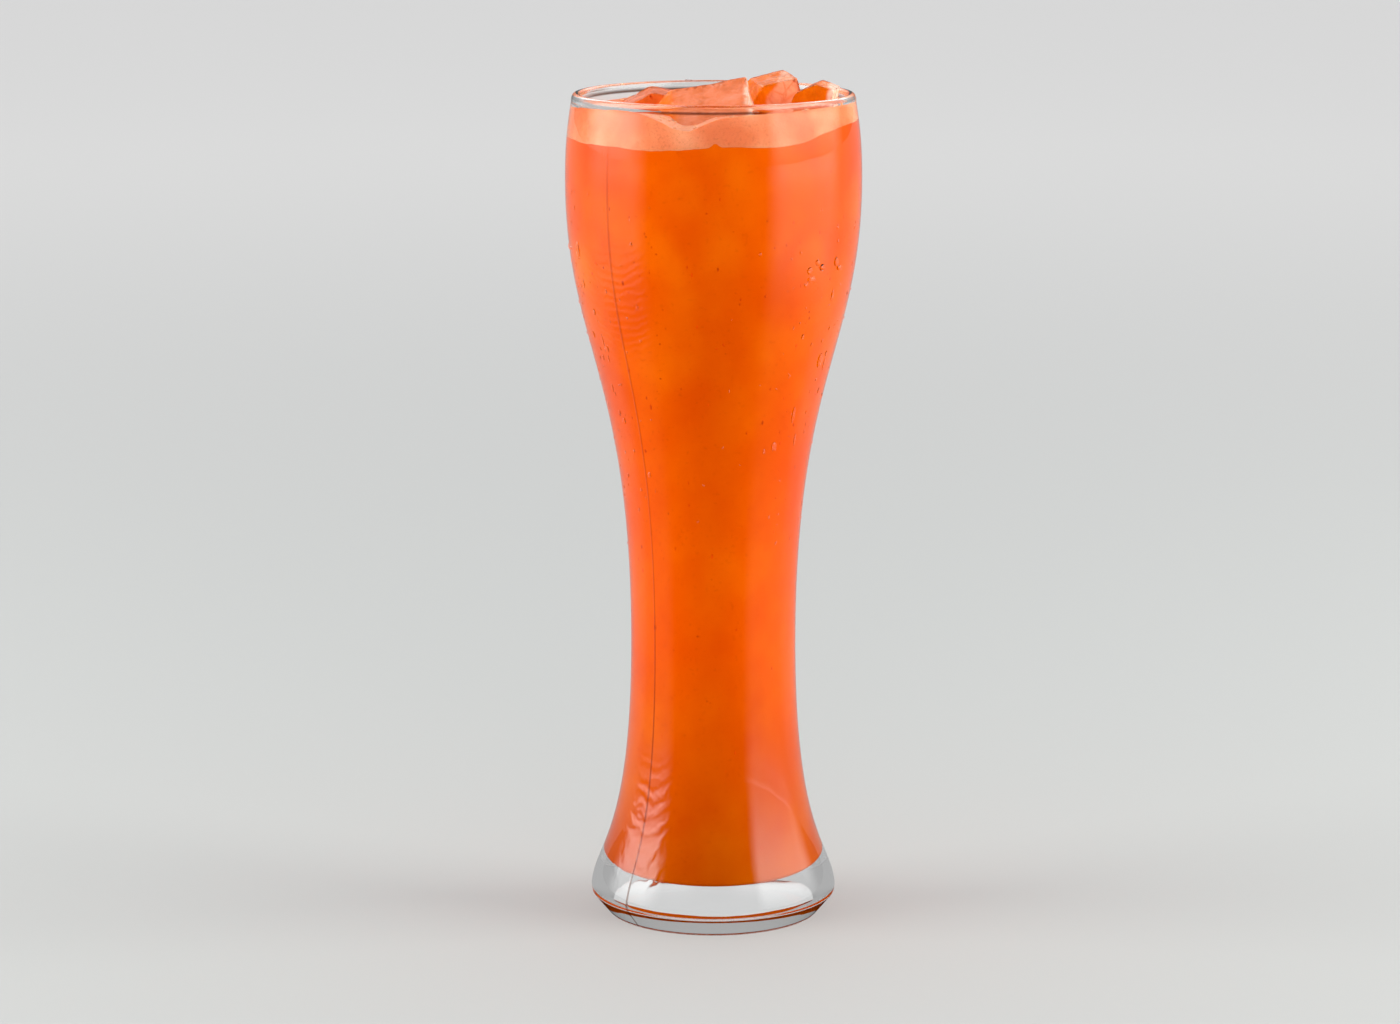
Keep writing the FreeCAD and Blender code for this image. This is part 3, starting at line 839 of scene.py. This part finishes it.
def make_card():
    """A card on the floor that only the gloss of the glass sees: dark in front of the glass, dim at
    the sides and brighter far off, so that the floor shows in the glass as it does in the photo."""
    ob = disc("gloss_card", CARD_RADIUS)
    ob.location = (0, 0, CARD_LEVEL)
    mat, nt, bsdf, out = nodes_of("gloss_card")
    nt.nodes.remove(bsdf)
    calc, step = maths(nt)
    x, y, _ = split_of(nt, add(nt, "NewGeometry").outputs["Position"])
    bearing, far = bearing_of(calc, x, y), distance_of(calc, x, y)
    left = calc("SUBTRACT", 1.0, step(bearing, -68, -50))
    right = step(bearing, 38, 56)
    behind = step(calc("ABSOLUTE", bearing), 96, 118)
    rise = calc("ADD", calc("MULTIPLY", step(far, 0.15, 0.75), 0.72),
                calc("MULTIPLY", step(far, 0.75, 4.0), 0.60))
    side = calc("MULTIPLY", calc("MAXIMUM", left, calc("MULTIPLY", right, 1.4)), rise)
    side = calc("MULTIPLY", side, calc("SUBTRACT", 1.0, behind))
    total = calc("ADD", side, calc("MULTIPLY", behind, 0.42))
    glow = add(nt, "Emission")
    nt.links.new(total, glow.inputs["Strength"])
    card = mix_shaders(nt, add(nt, "LightPath").outputs["Is Transmission Ray"], glow,
                       add(nt, "BsdfTransparent"))
    nt.links.new(card.outputs[0], out.inputs[0])
    ob.data.materials.append(mat)
    ob.visible_camera = ob.visible_diffuse = ob.visible_shadow = ob.visible_transmission = False


def make_world():
    """Plain light all round, a grey background, and a studio with softboxes that only gloss and
    what is seen through the glass show."""
    world = bpy.data.worlds.new("studio")
    bpy.context.scene.world = world
    world.use_nodes = True
    nt = world.node_tree
    nt.nodes.clear()
    out = add(nt, "OutputWorld")
    calc, step = maths(nt)
    x, y, z = split_of(nt, add(nt, "TexCoord").outputs["Generated"])
    bearing = bearing_of(calc, x, y)
    height = calc("DEGREES", calc("ARCSINE", z))      # above the horizon

    def patch(b0, b1, b2, b3, h0, h1, h2, h3):
        """1 inside bearings b1..b2 and heights h1..h2, falling to 0 at b0, b3, h0 and h3."""
        p = calc("MULTIPLY", step(bearing, b0, b1), step(bearing, b3, b2))
        q = calc("MULTIPLY", step(height, h0, h1), step(height, h3, h2))
        return calc("MULTIPLY", p, q)

    # A ray that goes through the glass counts as glossy too, so it is taken off the gloss. It shows
    # only a trace of the softboxes, and never less than a dim room.
    path = add(nt, "LightPath")
    glossy, through = path.outputs["Is Glossy Ray"], path.outputs["Is Transmission Ray"]
    gloss = calc("MAXIMUM", calc("SUBTRACT", glossy, through),
                 calc("MULTIPLY", through, THROUGH_GLOSS))
    back = step(calc("ABSOLUTE", bearing), 96, 118)
    tall = calc("ADD", 0.16, calc("SUBTRACT", calc("MULTIPLY", step(height, 5, 13), 0.52),
                                  calc("MULTIPLY", step(height, 28, 40), 0.34)))
    total = calc("MULTIPLY", back, calc("MAXIMUM", tall, calc("MULTIPLY", through, THROUGH_BACK)))
    total = calc("MAXIMUM", total, calc("MULTIPLY", through, THROUGH_LEAST))
    for strength, *edges in SOFTBOXES:
        box_light = calc("MULTIPLY", calc("MULTIPLY", patch(*edges), strength), gloss)
        total = calc("ADD", total, box_light)
    studio = add(nt, "Background", Color=(1, 1, 1, 1))
    nt.links.new(total, studio.inputs["Strength"])
    even = add(nt, "Background", Color=DOME, Strength=1.0)
    plain = add(nt, "Background", Color=BACKGROUND, Strength=1.0)
    light = mix_shaders(nt, calc("MAXIMUM", glossy, through), even, studio)
    light = mix_shaders(nt, path.outputs["Is Camera Ray"], light, plain)
    nt.links.new(light.outputs[0], out.inputs[0])


def make_lamp(name, place, width, power, colour):
    data = bpy.data.lights.new(name, "AREA")
    data.shape, data.size, data.energy, data.color = "SQUARE", width, power, colour
    ob = new_object(name, data)
    ob.location = place
    ob.rotation_euler = (LAMP_AIM - Vector(place)).to_track_quat("-Z", "Y").to_euler()
    ob.visible_glossy = ob.visible_transmission = ob.visible_camera = False


def make_camera():
    data = bpy.data.cameras.new("camera")
    data.sensor_width, data.lens = CAMERA_SENSOR, CAMERA_LENS
    data.clip_start, data.clip_end = 0.05, 50
    ob = new_object("camera", data)
    ob.location = CAMERA_PLACE
    ob.rotation_euler = (math.radians(90 - CAMERA_DIP), 0, 0)
    bpy.context.scene.camera = ob


# ---------------------------------------------------------------- all of it
dress(make_glass(), glass_material(), "glass", "glass")
dress(make_juice(), juice_material(), "juice", "juice")
froth = dress(make_foam(), foam_material(), "foam", "foam")
for number, (lump, (base, zones, seed)) in enumerate(ICE_TONES.items()):
    dress(make_lump(lump, 3.7 * number), ice_material(lump + "_look", base, zones, seed), "ice",
          lump)
dress(make_drops(), water_material(), "glass")
dress(make_pulp(), fleck_material("pulp", PULP_COLOUR, 0.4, 0.0), "juice")
dress(make_bubbles(froth), fleck_material("bubble_skin", BUBBLE_COLOUR, 0.15, 0.5), "foam")

make_floor()
make_card()
make_world()
for lamp in LAMPS:
    make_lamp(*lamp)
make_camera()
bpy.context.scene.view_settings.view_transform = "Standard"
